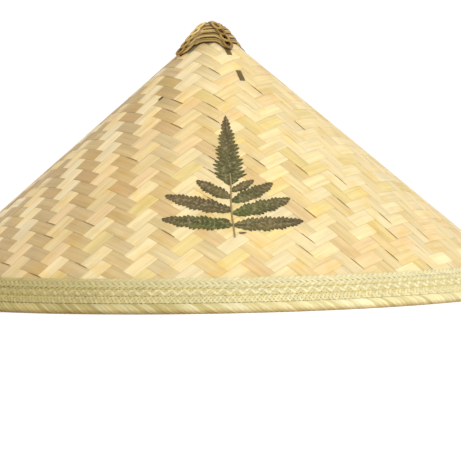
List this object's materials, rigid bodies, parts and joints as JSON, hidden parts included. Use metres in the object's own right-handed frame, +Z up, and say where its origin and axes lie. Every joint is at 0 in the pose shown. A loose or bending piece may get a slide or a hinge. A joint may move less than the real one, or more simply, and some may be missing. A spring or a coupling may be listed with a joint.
{
  "type": "conical hat",
  "caption": "Conical woven bamboo sun hat with a plaited straw rim, a cane-wound crown, an inner head ring and a pressed fern on the front.",
  "frame": {"origin": "centre of the circle that the rim stands on, in the plane of the rim's underside", "axes": "+Z up through the tip, front with the fern towards -Y, +X to the right when seen from the front"},
  "size_m": [0.5, 0.5, 0.2188],
  "materials": {
    "bamboo_strip": "split bamboo strips, pale cream to tan, satin along the grain",
    "bamboo_inner": "unpolished split bamboo, slightly darker than the outside",
    "dried_leaf": "dried bamboo leaf, dull, with fine veins",
    "straw_plait": "plaited straw, olive to pale yellow, soft sheen",
    "crown_cane": "aged golden brown cane, satin",
    "dark_cane": "dark olive brown flat cane, satin",
    "cotton_cord": "undyed twisted cotton, matte",
    "pressed_fern": "dried pressed fern, matte dark grey green"
  },
  "bodies": {
    "root": {"outer_weave": "bamboo_strip", "leaf_lining": "dried_leaf", "inner_weave": "bamboo_inner", "rim_edge_binding": "straw_plait", "rim_edge_cane": "bamboo_inner", "rim_braid_lower": "straw_plait", "rim_thread_lower": "cotton_cord", "rim_braid_middle": "straw_plait", "rim_thread_upper": "cotton_cord", "rim_braid_upper": "straw_plait", "rim_braid_inside": "straw_plait", "rim_hoop": "bamboo_inner", "crown_rib_1": "dark_cane", "crown_rib_2": "dark_cane", "crown_rib_3": "dark_cane", "crown_rib_4": "dark_cane", "crown_winding": "crown_cane", "crown_ridge_1": "crown_cane", "crown_ridge_2": "crown_cane", "crown_ridge_3": "crown_cane", "crown_ridge_4": "crown_cane", "head_ring_band": "bamboo_inner", "head_ring_upper_hoop": "bamboo_inner", "head_ring_lower_hoop": "bamboo_inner", "head_ring_lashing_1": "cotton_cord", "head_ring_lashing_2": "cotton_cord", "head_ring_lashing_3": "cotton_cord", "head_ring_lashing_4": "cotton_cord", "head_ring_lashing_5": "cotton_cord", "head_ring_lashing_6": "cotton_cord", "fern_frond": "pressed_fern"}
  },
  "joints": []
}
